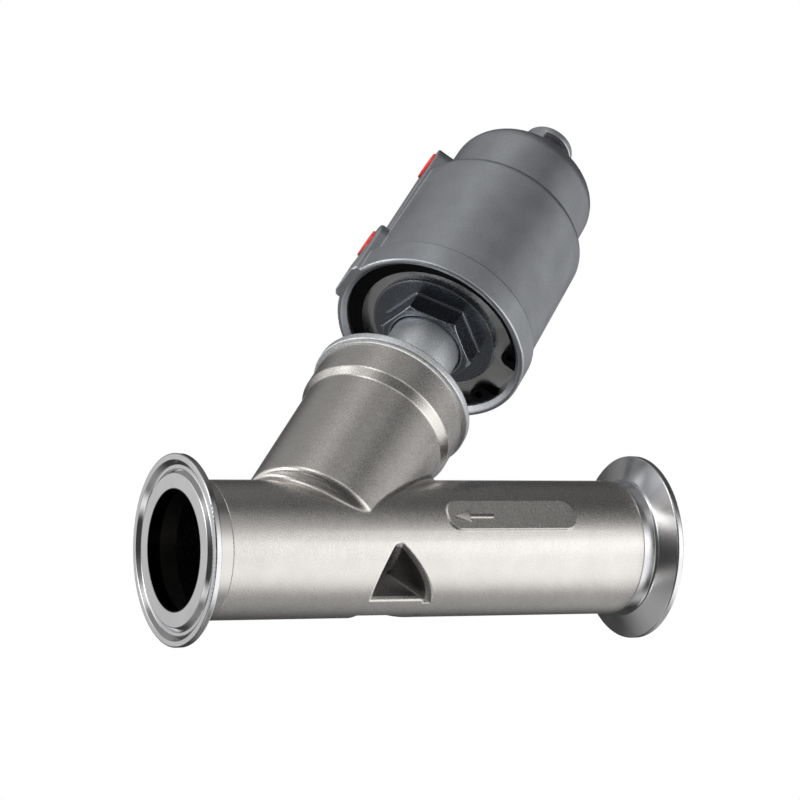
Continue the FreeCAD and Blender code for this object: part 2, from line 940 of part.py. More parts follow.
def plug():
    """Plug: plate with a rim round the seal, hub over the stem and lower stud."""
    stud_base = retainer_base - plug_nut_height - plug_stud_end
    hub_floor = stem_foot - foot_gap
    holder = turned([
        (0, stud_base),
        (plug_stud_r - edge_round, stud_base),
        (plug_stud_r, stud_base + edge_round),
        (plug_stud_r, plug_base),
        (plug_seal_r + fit_gap, plug_base),
        (plug_seal_r + fit_gap, plug_base - plug_rim_drop),
        (plug_r, plug_base - plug_rim_drop),
        (plug_r, plug_top, soft_round),
        (plug_hub_r, plug_top + plug_hub_foot, soft_round),
        (plug_hub_r, hub_top, edge_round),
        (stem_hole_r, hub_top),
        (stem_hole_r, hub_floor),
        (0, hub_floor),
    ])
    for side in (-1, 1):
        holder = holder.cut(plug_pin_bar(side, plug_pin_r + pin_gap, plug_hub_r))
    return holder


def plug_pin(side):
    """Pin across the hub that keeps the plug on the stem."""
    far_side = stem_groove_r + 2 * plug_pin_r + sliding_gap / 2
    half_length = math.sqrt(plug_hub_r ** 2 - far_side ** 2)
    return plug_pin_bar(side, plug_pin_r, half_length - plug_pin_inset)


def seat_seal():
    """Flat seal ring that closes on the seat."""
    return tube(plug_seal_r, plug_stud_r + fit_gap, seal_base, plug_base)


def seal_retainer():
    """Washer under the seal, inside the seat's bore."""
    outer = seat_bore_r - retainer_inset
    return turned([
        (plug_stud_r + fit_gap, retainer_base),
        (outer - retainer_chamfer, retainer_base),
        (outer, retainer_base + retainer_chamfer),
        (outer, seal_base),
        (plug_stud_r + fit_gap, seal_base),
    ])


def plug_nut():
    """Nut on the plug's stud."""
    free_end = retainer_base - plug_nut_height
    nut = hex_nut(plug_nut_flats, retainer_base, free_end)
    return nut.cut(rod(plug_stud_r + fit_gap, free_end, retainer_base))


def closing_spring():
    """Coil spring between the piston's dish and the dome's ceiling."""
    low = piston_top - piston_dish_depth + spring_wire_r + fit_gap
    high = dome_ceiling - spring_wire_r - fit_gap
    path = Part.makeHelix((high - low) / spring_coils, high - low, spring_mean_r)
    path.translate(Vector(0, 0, low))
    start = Vector(spring_mean_r, 0, low)
    section = Part.Wire(Part.makeCircle(spring_wire_r, start, Y_AXIS))
    return Part.Wire(path).makePipeShell([section], True, True)


def indicator_housing():
    """Round knob on the dome with a window for the indicator."""
    inner = knob_r - knob_wall
    sill = dome_top + window_sill
    head = knob_top - window_head
    knob = turned([
        (indicator_r + running_gap, dome_ceiling),
        (knob_spigot_r, dome_ceiling),
        (knob_spigot_r, dome_top),
        (knob_r, dome_top),
        (knob_r, knob_top, soft_round),
        (0, knob_top),
        (0, knob_ceiling),
        (inner, knob_ceiling),
        (inner, sill),
        (indicator_r + running_gap, sill),
    ])
    opening = rounded_outline([
        (inner - overcut, sill),
        (knob_r + overcut, sill),
        (knob_r + overcut, head),
        (inner - overcut, head),
    ])
    window = Part.Face(opening).revolve(ORIGIN, Z_AXIS, 2 * window_half_angle)
    window.rotate(ORIGIN, Z_AXIS, window_middle - window_half_angle)
    return knob.cut(window)


def build():
    """Every node of the valve, in the row frame."""
    on_axis = {
        "valve_body": valve_body(),
        "bonnet_gasket": bonnet_gasket(),
        "bonnet": bonnet(),
        "gland_nut": gland_nut(),
        "neck_clip": neck_clip(),
        "actuator_housing": actuator_housing(),
        "retaining_ring": retaining_ring(),
        "end_cover": end_cover(),
        "cover_seal": cover_seal(),
        "indicator_housing": indicator_housing(),
        "closing_spring": closing_spring(),
        "lower_port_cap": port_cap(low_port_height, low_port_z),
        "upper_port_cap": port_cap(rib_height, high_port_z),
        "stem": stem(),
        "piston": piston(),
        "piston_seal": piston_seal(),
        "piston_guide_ring": piston_guide_ring(),
        "piston_nut": piston_nut(),
        "indicator": indicator(),
        "plug": plug(),
        "plug_pin_left": plug_pin(-1),
        "plug_pin_right": plug_pin(1),
        "seat_seal": seat_seal(),
        "seal_retainer": seal_retainer(),
        "plug_nut": plug_nut(),
    }
    on_axis.update(packing_parts())
    nodes = {name: placed(shape) for name, shape in on_axis.items()}
    nodes["inlet_ferrule"] = inlet_ferrule()
    nodes["outlet_ferrule"] = outlet_ferrule()
    return nodes


os.makedirs("parts", exist_ok=True)
for node, shape in build().items():
    print(node, shape.ShapeType, len(shape.Solids), round(shape.Volume, 1), shape.isValid())
    shape.exportStep("parts/%s.step" % node)
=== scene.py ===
import math

import bmesh
import bpy
from mathutils import Matrix, Vector


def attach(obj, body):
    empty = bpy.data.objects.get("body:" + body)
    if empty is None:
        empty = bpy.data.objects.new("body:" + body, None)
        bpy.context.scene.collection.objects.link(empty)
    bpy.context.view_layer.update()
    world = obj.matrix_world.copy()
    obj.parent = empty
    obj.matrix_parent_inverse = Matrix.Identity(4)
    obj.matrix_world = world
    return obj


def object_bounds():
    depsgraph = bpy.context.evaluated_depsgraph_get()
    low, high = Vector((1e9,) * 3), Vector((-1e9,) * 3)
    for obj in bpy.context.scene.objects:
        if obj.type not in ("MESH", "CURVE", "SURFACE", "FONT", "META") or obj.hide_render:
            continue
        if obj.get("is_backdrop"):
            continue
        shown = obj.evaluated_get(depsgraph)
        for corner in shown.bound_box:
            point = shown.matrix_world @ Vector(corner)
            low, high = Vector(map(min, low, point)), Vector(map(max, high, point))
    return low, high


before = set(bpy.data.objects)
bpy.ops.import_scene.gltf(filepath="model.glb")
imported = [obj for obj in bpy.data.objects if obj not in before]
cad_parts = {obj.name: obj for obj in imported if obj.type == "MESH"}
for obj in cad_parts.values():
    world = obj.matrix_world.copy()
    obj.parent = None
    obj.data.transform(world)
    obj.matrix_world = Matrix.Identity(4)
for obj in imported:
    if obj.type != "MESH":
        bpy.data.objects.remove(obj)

bl_info = {
    "name": "Angle Seat Valve",
    "version": (1, 0, 0),
    "blender": (4, 5, 0),
    "location": "View3D > Sidebar > Angle Seat Valve",
    "description": "Finishes an angle seat valve and lights it in a small studio",
    "category": "Object",
}

AXIS_CROSSING = Vector((0.0365, 0.0, 0.0))
AXIS_LEAN = math.radians(41.0)
AXIS_DIRECTION = Vector((math.sin(AXIS_LEAN), 0.0, math.cos(AXIS_LEAN)))
# Painted shade inside the bore: its radius on the casting and on the ferrules, its fade and how
# dark it gets
CAST_INSIDE = 0.0170
FERRULE_INSIDE = 0.0161
INSIDE_FADE = 0.0002
INSIDE_SHADE = 0.25


class CastingSettings(bpy.types.PropertyGroup):
    """Finish of the sand-blasted castings."""

    body_colour: bpy.props.FloatVectorProperty(
        name="Body colour", description="Colour of the blasted valve body",
        subtype="COLOR", size=3, min=0.0, max=1.0, default=(0.66, 0.635, 0.61))
    bonnet_colour: bpy.props.FloatVectorProperty(
        name="Bonnet colour", description="Colour of the blasted bonnet and its neck",
        subtype="COLOR", size=3, min=0.0, max=1.0, default=(0.90, 0.93, 0.97))
    housing_colour: bpy.props.FloatVectorProperty(
        name="Housing colour", description="Colour of the smooth actuator housing",
        subtype="COLOR", size=3, min=0.0, max=1.0, default=(0.52, 0.54, 0.57))
    grain: bpy.props.FloatProperty(
        name="Grain", description="Width of one grain of the blasted surface",
        subtype="DISTANCE", unit="LENGTH", min=0.0001, max=0.002, default=0.0003)
    edge: bpy.props.FloatProperty(
        name="Edge rounding", description="How far the edges of the castings look rounded",
        subtype="DISTANCE", unit="LENGTH", min=0.0, max=0.002, default=0.0006)
    mottle: bpy.props.FloatProperty(
        name="Mottling", description="Width of the soft mottling on the blasted castings",
        subtype="DISTANCE", unit="LENGTH", min=0.001, max=0.02, default=0.006)
    wave: bpy.props.FloatProperty(
        name="Waves", description="Width of the shallow waves in the blasted castings",
        subtype="DISTANCE", unit="LENGTH", min=0.001, max=0.02, default=0.0035)
    cloud: bpy.props.FloatProperty(
        name="Clouds", description="Width of the faint clouds on the actuator housing",
        subtype="DISTANCE", unit="LENGTH", min=0.001, max=0.03, default=0.009)


class MetalSettings(bpy.types.PropertyGroup):
    """Finish of the turned, polished and dark metal pieces."""

    polished_colour: bpy.props.FloatVectorProperty(
        name="Polished colour", description="Colour of the polished ferrules",
        subtype="COLOR", size=3, min=0.0, max=1.0, default=(0.66, 0.66, 0.67))
    cover_colour: bpy.props.FloatVectorProperty(
        name="Cover colour", description="Colour of the turned end cover",
        subtype="COLOR", size=3, min=0.0, max=1.0, default=(0.60, 0.60, 0.59))
    nut_colour: bpy.props.FloatVectorProperty(
        name="Nut colour", description="Colour of the dark gland nut",
        subtype="COLOR", size=3, min=0.0, max=1.0, default=(0.22, 0.235, 0.265))
    steel_colour: bpy.props.FloatVectorProperty(
        name="Steel colour", description="Colour of the stem, the plug and small turned pieces",
        subtype="COLOR", size=3, min=0.0, max=1.0, default=(0.62, 0.63, 0.64))
    piston_colour: bpy.props.FloatVectorProperty(
        name="Piston colour", description="Colour of the turned piston",
        subtype="COLOR", size=3, min=0.0, max=1.0, default=(0.66, 0.67, 0.68))
    bronze_colour: bpy.props.FloatVectorProperty(
        name="Bronze colour", description="Colour of the guide bush",
        subtype="COLOR", size=3, min=0.0, max=1.0, default=(0.55, 0.38, 0.16))
    ring_colour: bpy.props.FloatVectorProperty(
        name="Snap ring colour", description="Colour of the black snap ring",
        subtype="COLOR", size=3, min=0.0, max=1.0, default=(0.012, 0.012, 0.013))
    spring_colour: bpy.props.FloatVectorProperty(
        name="Spring colour", description="Colour of the springs",
        subtype="COLOR", size=3, min=0.0, max=1.0, default=(0.30, 0.30, 0.31))
    hub_colour: bpy.props.FloatVectorProperty(
        name="Hub colour", description="Colour of the outlet ferrule's dull hub",
        subtype="COLOR", size=3, min=0.0, max=1.0, default=(0.62, 0.60, 0.58))
    hub_start: bpy.props.FloatProperty(
        name="Hub start", description="Distance of the dull hub from the outlet ferrule's face",
        subtype="DISTANCE", unit="LENGTH", min=0.0, max=0.0083, default=0.0034)
    turning_pitch: bpy.props.FloatProperty(
        name="Turning pitch", description="Distance between the rings that turning leaves",
        subtype="DISTANCE", unit="LENGTH", min=0.00005, max=0.002, default=0.00025)


class SoftSettings(bpy.types.PropertyGroup):
    """Colours of the plastic and rubber pieces."""

    cap_colour: bpy.props.FloatVectorProperty(
        name="Cap colour", description="Colour of the caps in the air ports",
        subtype="COLOR", size=3, min=0.0, max=1.0, default=(0.62, 0.03, 0.025))
    indicator_colour: bpy.props.FloatVectorProperty(
        name="Indicator colour", description="Colour of the rod in the knob's window",
        subtype="COLOR", size=3, min=0.0, max=1.0, default=(0.58, 0.04, 0.03))
    white_colour: bpy.props.FloatVectorProperty(
        name="White seal colour", description="Colour of the packing and the white seals",
        subtype="COLOR", size=3, min=0.0, max=1.0, default=(0.80, 0.79, 0.75))
    black_colour: bpy.props.FloatVectorProperty(
        name="Black seal colour", description="Colour of the rubber seals",
        subtype="COLOR", size=3, min=0.0, max=1.0, default=(0.025, 0.025, 0.027))


class ArrowSettings(bpy.types.PropertyGroup):
    """Flow arrow cast on the marking pad."""

    tip: bpy.props.FloatProperty(
        name="Tip", description="Place of the arrow's tip along the pipe",
        subtype="DISTANCE", unit="LENGTH", default=0.0740)
    height: bpy.props.FloatProperty(
        name="Height", description="Height of the arrow's middle line over the pipe's axis",
        subtype="DISTANCE", unit="LENGTH", default=-0.0005)
    pad_face: bpy.props.FloatProperty(
        name="Pad face", description="Distance of the pad's face from the pipe's axis",
        subtype="DISTANCE", unit="LENGTH", default=0.0187)
    head: bpy.props.FloatProperty(
        name="Head length", description="Length of the arrow's head",
        subtype="DISTANCE", unit="LENGTH", default=0.0052)
    head_width: bpy.props.FloatProperty(
        name="Head width", description="Width of the arrow's head",
        subtype="DISTANCE", unit="LENGTH", default=0.0038)
    length: bpy.props.FloatProperty(
        name="Length", description="Length of the whole arrow",
        subtype="DISTANCE", unit="LENGTH", default=0.0125)
    shaft_width: bpy.props.FloatProperty(
        name="Shaft width", description="Width of the arrow's shaft",
        subtype="DISTANCE", unit="LENGTH", default=0.0012)
    rise: bpy.props.FloatProperty(
        name="Rise", description="How far the arrow stands out of the pad",
        subtype="DISTANCE", unit="LENGTH", default=0.00028)


class StudioSettings(bpy.types.PropertyGroup):
    """Camera, lamp and floor."""

    place: bpy.props.FloatVectorProperty(
        name="Camera place", description="Where the camera stands",
        subtype="TRANSLATION", unit="LENGTH", size=3, default=(-0.3954, -0.7353, -0.3979))
    lens: bpy.props.FloatProperty(
        name="Lens", description="Focal length of the camera",
        unit="CAMERA", min=20.0, max=400.0, default=160.11)
    fill_power: bpy.props.FloatProperty(
        name="Fill power", description="Power of the weak lamp that lights hollows and plastic",
        subtype="POWER", unit="POWER", min=0.0, max=50.0, default=3.5)
    floor_radius: bpy.props.FloatProperty(
        name="Floor radius", description="Radius of the round floor, where it has faded out",
        subtype="DISTANCE", unit="LENGTH", min=0.2, max=2.0, default=0.45)
    floor_fade: bpy.props.FloatProperty(
        name="Floor fade", description="Radius at which the floor starts to fade out",
        subtype="DISTANCE", unit="LENGTH", min=0.1, max=2.0, default=0.30)


def deselect():
    """Nothing stays selected, and object mode is on."""
    if bpy.context.object and bpy.context.object.mode != "OBJECT":
        bpy.ops.object.mode_set(mode="OBJECT")
    bpy.ops.object.select_all(action="DESELECT")


class Finish:
    """One material under construction: short calls that add and join its nodes."""

    def __init__(self, name):
        self.material = bpy.data.materials.new(name)
        self.material.use_nodes = True
        self.tree = self.material.node_tree
        self.tree.nodes.clear()
        self.output = self.tree.nodes.new("ShaderNodeOutputMaterial")
        self.shader = self.tree.nodes.new("ShaderNodeBsdfPrincipled")
        self.join(self.shader, "BSDF", self.output, "Surface")

    def add(self, kind, **values):
        """A node of this kind with its properties set."""
        node = self.tree.nodes.new("ShaderNode" + kind)
        for key, value in values.items():
            setattr(node, key, value)
        return node

    def join(self, source, source_socket, target, target_socket):
        """A link between two sockets, named or numbered."""
        self.tree.links.new(source.outputs[source_socket], target.inputs[target_socket])

    def brushed_round(self, amount):
        """Reflections that fan out across the rings of turning about the valve axis."""
        self.shader.inputs["Anisotropic"].default_value = amount
        self.shader.inputs["Anisotropic Rotation"].default_value = 0.25
        from_axis = self.add("VectorMath", operation="SUBTRACT")
        from_axis.inputs[1].default_value = AXIS_CROSSING
        self.join(*self.place(), from_axis, 0)
        around = self.add("VectorMath", operation="CROSS_PRODUCT")
        around.inputs[0].default_value = AXIS_DIRECTION
        self.join(from_axis, "Vector", around, 1)
        turned = self.add("VectorTransform", vector_type="VECTOR")
        turned.convert_from = "OBJECT"
        turned.convert_to = "WORLD"
        self.join(around, "Vector", turned, "Vector")
        self.join(turned, "Vector", self.shader, "Tangent")

    def surface(self, colour, metallic, roughness):
        """Plain values on the shader itself."""
        self.shader.inputs["Base Color"].default_value = (*colour, 1.0)
        self.shader.inputs["Metallic"].default_value = metallic
        self.shader.inputs["Roughness"].default_value = roughness

    def place(self):
        """Coordinates of the piece in its own frame."""
        return self.add("TexCoord"), "Object"

    def place_on_axis(self):
        """Coordinates with z along the leaning valve axis."""
        mapping = self.add("Mapping", vector_type="TEXTURE")
        mapping.inputs["Location"].default_value = AXIS_CROSSING
        mapping.inputs["Rotation"].default_value = (0.0, AXIS_LEAN, 0.0)
        self.join(*self.place(), mapping, "Vector")
        return mapping, "Vector"

    def noise(self, place, grain, detail=2.0, roughness=0.5):
        """Grain of a given width in metres."""
        noise = self.add("TexNoise")
        noise.inputs["Scale"].default_value = 1.0 / grain
        noise.inputs["Detail"].default_value = detail
        noise.inputs["Roughness"].default_value = roughness
        self.join(*place, noise, "Vector")
        return noise

    def spread(self, source, source_socket, low, high, to_low, to_high):
        """A value taken from one range to another."""
        ranged = self.add("MapRange")
        ranged.inputs["From Min"].default_value = low
        ranged.inputs["From Max"].default_value = high
        ranged.inputs["To Min"].default_value = to_low
        ranged.inputs["To Max"].default_value = to_high
        self.join(source, source_socket, ranged, "Value")
        return ranged

    def tint(self, noise, colour, low, high):
        """Base colour that wanders between two strengths of one colour."""
        ramp = self.add("ValToRGB")
        ramp.color_ramp.elements[0].position = 0.3
        ramp.color_ramp.elements[0].color = (*[part * low for part in colour], 1.0)
        ramp.color_ramp.elements[1].position = 0.7
        ramp.color_ramp.elements[1].color = (*[min(part * high, 1.0) for part in colour], 1.0)
        self.join(noise, "Fac", ramp, "Fac")
        self.join(ramp, "Color", self.shader, "Base Color")
        return ramp

    def speckle(self, tint, grains, strength):
        """Bright and dark grains over a tinted base colour."""
        value = self.spread(grains, "Fac", 0.25, 0.75, 1.0 - strength, 1.0 + strength)
        blend = self.add("HueSaturation")
        self.join(tint, "Color", blend, "Color")
        self.join(value, "Result", blend, "Value")
        return blend.outputs["Color"]

    def blend(self, amount, first, second, blend_type="MIX"):
        """Second colour over the first one, each a socket or a plain colour."""
        blend = self.add("Mix", data_type="RGBA", blend_type=blend_type)
        for place, value in ((0, amount), (6, first), (7, second)):
            if isinstance(value, bpy.types.NodeSocket):
                self.tree.links.new(value, blend.inputs[place])
            else:
                blend.inputs[place].default_value = value
        return blend.outputs[2]

    def multiply(self, first, second):
        """Two colours multiplied."""
        return self.blend(1.0, first, second, "MULTIPLY")

    def colour_from(self, source):
        """Sends a colour to the shader."""
        self.tree.links.new(source, self.shader.inputs["Base Color"])

    def painted_edge_highlight(self, source, bevel, colour, strength):
        """Painted highlight: colour that turns brighter where an edge is rounded."""
        flat = self.add("NewGeometry")
        cosine = self.add("VectorMath", operation="DOT_PRODUCT")
        self.join(*bevel, cosine, 0)
        self.join(flat, "Normal", cosine, 1)
        edge_highlight = self.spread(cosine, "Value", 0.995, 0.90, 0.0, strength)
        return self.blend(edge_highlight.outputs["Result"], source, (*colour, 1.0))

    def openness(self, reach):
        """How open the surface is within a reach, 1 where nothing of its own piece is near."""
        openness = self.add("AmbientOcclusion", samples=6, only_local=True)
        openness.inputs["Distance"].default_value = reach
        return openness

    def shaded_corners(self, source, reach, darkest):
        """Painted shade: colour that turns darker deep in corners and crevices."""
        shade = self.spread(self.openness(reach), "AO", 0.25, 0.75, darkest, 1.0)
        return self.multiply(source, shade.outputs["Result"])

    def dull_hollows(self, rough, reach, rougher, duller):
        """Rougher, less metallic skin deep in hollows, which blasting doesn't reach."""
        depth = self.spread(self.openness(reach), "AO", 0.65, 0.3, 0.0, 1.0)
        total = self.add("Math", operation="MULTIPLY_ADD")
        self.join(depth, "Result", total, 0)
        total.inputs[1].default_value = rougher
        self.join(rough, "Result", total, 2)
        self.join(total, "Value", self.shader, "Roughness")
        metal = self.spread(depth, "Result", 0.0, 1.0, 1.0, 1.0 - duller)
        self.join(metal, "Result", self.shader, "Metallic")

    def from_axis(self, place, along):
        """Node with the distance from one axis, and node with the three coordinates."""
        parts = self.add("SeparateXYZ")
        self.join(*place, parts, "Vector")
        across = self.add("CombineXYZ")
        for name in "XYZ":
            if name != along:
                self.join(parts, name, across, name)
        distance = self.add("VectorMath", operation="LENGTH")
        self.join(across, "Vector", distance, 0)
        return distance, parts

    def painted_bore_shade(self, source, radius):
        """Painted shade: colour that turns dark inside the pipe's bore."""
        distance, parts = self.from_axis(self.place(), "X")
        shade = self.spread(distance, "Value", radius, radius + INSIDE_FADE, INSIDE_SHADE, 1.0)
        return self.multiply(source, shade.outputs["Result"])

    def relief(self, source, source_socket, strength, depth, below=None):
        """Bump that may lie over another normal."""
        bump = self.add("Bump")
        bump.inputs["Strength"].default_value = strength
        bump.inputs["Distance"].default_value = depth
        self.join(source, source_socket, bump, "Height")
        if below is not None:
            self.join(*below, bump, "Normal")
        return bump

    def soft_edges(self, radius):
        """Normal that rounds the piece's edges."""
        bevel = self.add("Bevel", samples=6)
        bevel.inputs["Radius"].default_value = radius
        return bevel, "Normal"

    def facing(self, normal):
        """Sends a normal to the shader."""
        self.join(*normal, self.shader, "Normal")


# Painted shade in crevices: how far it reaches and how dark it gets (the first two values)
CREVICE_REACH = 0.0015
CREVICE_SHADE = 0.7
HOLLOW_REACH = 0.009
HOLLOW_ROUGHER = 0.25
HOLLOW_DULLER = 0.9
WAVE_HEIGHT = 0.0003


def blasted_casting(name, look, colour, roughness, grain, edge, sparkle):
    """Blasted stainless casting: fine bright and dark grains, soft mottling, rounded edges with a
    faint painted highlight, painted shade in crevices and inside the bore.
    """
    finish = Finish(name)
    finish.surface(colour, 1.0, roughness)
    place = finish.place()
    mottle = finish.noise(place, look.mottle, detail=3.0)
    tint = finish.tint(mottle, colour, 0.96, 1.03)
    grains = finish.noise(place, grain, detail=3.0, roughness=0.7)
    bevel = finish.soft_edges(edge)
    shade = finish.speckle(tint, grains, sparkle * 0.5)
    # Painted highlight along the rounded edges
    shade = finish.painted_edge_highlight(shade, bevel, (0.95, 0.94, 0.92), 0.15)
    # Painted shade deep in crevices
    shade = finish.shaded_corners(shade, CREVICE_REACH, CREVICE_SHADE)
    # Painted shade inside the bore
    finish.colour_from(finish.painted_bore_shade(shade, CAST_INSIDE))
    rough = finish.spread(grains, "Fac", 0.3, 0.7, roughness - 0.06, roughness + 0.06)
    finish.dull_hollows(rough, HOLLOW_REACH, HOLLOW_ROUGHER, HOLLOW_DULLER)
    waves = finish.noise(place, look.wave, detail=2.0)
    swell = finish.relief(waves, "Fac", 0.1, WAVE_HEIGHT, below=bevel)
    bump = finish.relief(grains, "Fac", sparkle, grain * 0.35, below=(swell, "Normal"))
    finish.facing((bump, "Normal"))
    return finish.material


SATIN_GRAIN = 0.0005
SATIN_HEIGHT = 0.0002


def satin_casting(name, look, roughness):
    """Smooth cast housing with faint clouds, a fine grain and a painted highlight on its edges.
    """
    finish = Finish(name)
    finish.surface(look.housing_colour, 1.0, roughness)
    place = finish.place()
    clouds = finish.noise(place, look.cloud, detail=4.0, roughness=0.6)
    tint = finish.tint(clouds, look.housing_colour, 0.94, 1.05)
    bevel = finish.soft_edges(look.edge)
    fine = finish.noise(place, SATIN_GRAIN, detail=3.0)
    shade = finish.speckle(tint, fine, 0.1)
    # Painted highlight along the rounded edges, nearly white
    finish.colour_from(finish.painted_edge_highlight(shade, bevel, (1.0, 1.0, 1.0), 0.95))
    rough = finish.spread(clouds, "Fac", 0.3, 0.7, roughness - 0.02, roughness + 0.02)
    finish.join(rough, "Result", finish.shader, "Roughness")
    bump = finish.relief(fine, "Fac", 0.12, SATIN_HEIGHT, below=bevel)
    finish.facing((bump, "Normal"))
    return finish.material


def ring_place(finish, place, along):
    """Value that is the same round each turned ring and changes across every turned face."""
    distance, parts = finish.from_axis(place, along)
    ring = finish.add("Math", operation="ADD")
    finish.join(distance, "Value", ring, 0)
    finish.join(parts, along, ring, 1)
    return ring


HUB_EDGE = 0.0004
HUB_ROUGHER = 0.15


def satin_hub(finish, shade, rough, look):
    """Duller finish behind the outlet ferrule's flange, as on the casting that it meets."""
    parts = finish.add("SeparateXYZ")
    finish.join(*finish.place(), parts, "Vector")
    hub = finish.spread(parts, "X", look.hub_start, look.hub_start + HUB_EDGE, 0.0, 1.0)
    finish.colour_from(finish.blend(hub.outputs["Result"], shade, (*look.hub_colour, 1.0)))
    duller = finish.add("Math", operation="MULTIPLY_ADD")
    finish.join(hub, "Result", duller, 0)
    duller.inputs[1].default_value = HUB_ROUGHER
    finish.join(rough, "Result", duller, 2)
    finish.join(duller, "Value", finish.shader, "Roughness")


TURNED_CLOUD = 0.008
TURNED_EDGE = 0.0002


def turned_metal(name, colour, roughness, pitch, depth, on_axis=True, brushed=0.0, hub=None):
    """Turned metal: fine rings round its axis, with faint clouds."""
    finish = Finish(name)
    finish.surface(colour, 1.0, roughness)
    place = finish.place_on_axis() if on_axis else finish.place()
    rings = finish.add("TexNoise", noise_dimensions="1D")
    rings.inputs["Scale"].default_value = 1.0 / pitch
    rings.inputs["Detail"].default_value = 1.0
    finish.join(ring_place(finish, place, "Z" if on_axis else "X"), "Value", rings, "W")
    clouds = finish.noise(place, TURNED_CLOUD, detail=3.0)
    tint = finish.tint(clouds, colour, 0.95, 1.04)
    rough = finish.spread(clouds, "Fac", 0.3, 0.7, roughness * 0.8, roughness * 1.2)
    finish.join(rough, "Result", finish.shader, "Roughness")
    if not on_axis:
        # Painted shade inside the ferrule's bore
        shade = finish.painted_bore_shade(tint.outputs["Color"], FERRULE_INSIDE)
        finish.colour_from(shade)
        if hub is not None:
            satin_hub(finish, shade, rough, hub)
    if brushed > 0.0:
        finish.brushed_round(brushed)
    bump = finish.relief(rings, "Fac", depth, pitch * 0.2, below=finish.soft_edges(TURNED_EDGE))
    finish.facing((bump, "Normal"))
    return finish.material


DARK_GRAIN = 0.0007
SKIN_GRAIN = 0.0012
SKIN_EDGE = 0.0002
DUST_GRAIN = 0.0006
FINE_HEIGHT = 0.0001


def dark_metal(name, colour, roughness, edge, highlight_strength):
    """Dark coated metal with a painted highlight along its edges."""
    finish = Finish(name)
    finish.surface(colour, 1.0, roughness)
    place = finish.place()
    grains = finish.noise(place, DARK_GRAIN, detail=3.0)
    bevel = finish.soft_edges(edge)
    tint = finish.tint(grains, colour, 0.94, 1.06)
    # Painted highlight along the rounded edges
    finish.colour_from(
        finish.painted_edge_highlight(tint.outputs["Color"], bevel, (0.75, 0.76, 0.78), highlight_strength))
    rough = finish.spread(grains, "Fac", 0.3, 0.7, roughness - 0.05, roughness + 0.05)
    finish.join(rough, "Result", finish.shader, "Roughness")
    bump = finish.relief(grains, "Fac", 0.15, FINE_HEIGHT, below=bevel)
    finish.facing((bump, "Normal"))
    return finish.material


def moulded_plastic(name, colour, roughness, coat):
    """Moulded plastic with a soft orange-peel skin."""
    finish = Finish(name)
    finish.surface(colour, 0.0, roughness)
    finish.shader.inputs["Coat Weight"].default_value = coat
    finish.shader.inputs["Coat Roughness"].default_value = 0.15
    place = finish.place()
    skin = finish.noise(place, SKIN_GRAIN, detail=2.0)
    finish.tint(skin, colour, 0.92, 1.05)
    bump = finish.relief(skin, "Fac", 0.08, FINE_HEIGHT, below=finish.soft_edges(SKIN_EDGE))
    finish.facing((bump, "Normal"))
    return finish.material


def soft_seal(name, colour, roughness):
    """Matte seal material with a fine dusty grain."""
    finish = Finish(name)
    finish.surface(colour, 0.0, roughness)
    place = finish.place()
    dust = finish.noise(place, DUST_GRAIN, detail=4.0)
    finish.tint(dust, colour, 0.9, 1.12)
    bump = finish.relief(dust, "Fac", 0.15, FINE_HEIGHT)
    finish.facing((bump, "Normal"))
    return finish.material


def dress(material, *nodes):
    """Gives CAD nodes a material in place of their plain one."""
    for name in nodes:
        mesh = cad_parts[name].data
        mesh.materials.clear()
        mesh.materials.append(material)


class VALVE_OT_finish_castings(bpy.types.Operator):
    """Blasted body and bonnet, and the smooth housing with its knob"""

    bl_idname = "valve.finish_castings"
    bl_label = "Finish the castings"

    def execute(self, context):
        look = context.scene.valve_castings
        body = blasted_casting(
            "blasted_body", look, look.body_colour, 0.29, look.grain, look.edge * 0.8, 0.28)
        bonnet = blasted_casting(
            "blasted_bonnet", look, look.bonnet_colour, 0.42, look.grain * 1.3, look.edge, 0.7)
        housing = satin_casting("satin_housing", look, 0.38)
        dress(body, "valve_body")
        dress(bonnet, "bonnet")
        dress(housing, "actuator_housing", "indicator_housing")
        return {"FINISHED"}


class VALVE_OT_finish_metal(bpy.types.Operator):
    """Polished ferrules, turned cover, dark nut and ring, and the inner metal pieces"""

    bl_idname = "valve.finish_metal"
    bl_label = "Finish the metal pieces"

    def execute(self, context):
        look = context.scene.valve_metal
        pitch = look.turning_pitch
        polished = turned_metal(
            "polished_ferrule", look.polished_colour, 0.20, pitch, 0.05, on_axis=False)
        outlet = turned_metal(
            "outlet_ferrule", look.polished_colour, 0.09, pitch, 0.05, on_axis=False, hub=look)
        cover = turned_metal("turned_cover", look.cover_colour, 0.22, pitch, 0.1, brushed=0.9)
        turned = turned_metal("turned_steel", look.steel_colour, 0.26, pitch, 0.2)
        piston = turned_metal("turned_piston", look.piston_colour, 0.3, pitch, 0.2)
        bronze = turned_metal("turned_bronze", look.bronze_colour, 0.32, pitch, 0.15)
        nut = dark_metal("dark_nut", look.nut_colour, 0.28, 0.0005, 0.9)
        ring = dark_metal("black_ring", look.ring_colour, 0.42, 0.00025, 0.02)
        spring = dark_metal("spring_steel", look.spring_colour, 0.33, 0.0002, 0.1)
        dress(polished, "inlet_ferrule")
        dress(outlet, "outlet_ferrule")
        dress(cover, "end_cover")
        dress(turned, "stem", "plug", "plug_pin_left", "plug_pin_right", "seal_retainer")
        dress(turned, "plug_nut", "piston_nut", "neck_clip", "packing_washer", "packing_follower")
        dress(piston, "piston")
        dress(bronze, "guide_bush")
        dress(nut, "gland_nut")
        dress(ring, "retaining_ring")
        dress(spring, "closing_spring", "disc_spring_1", "disc_spring_2")
        return {"FINISHED"}


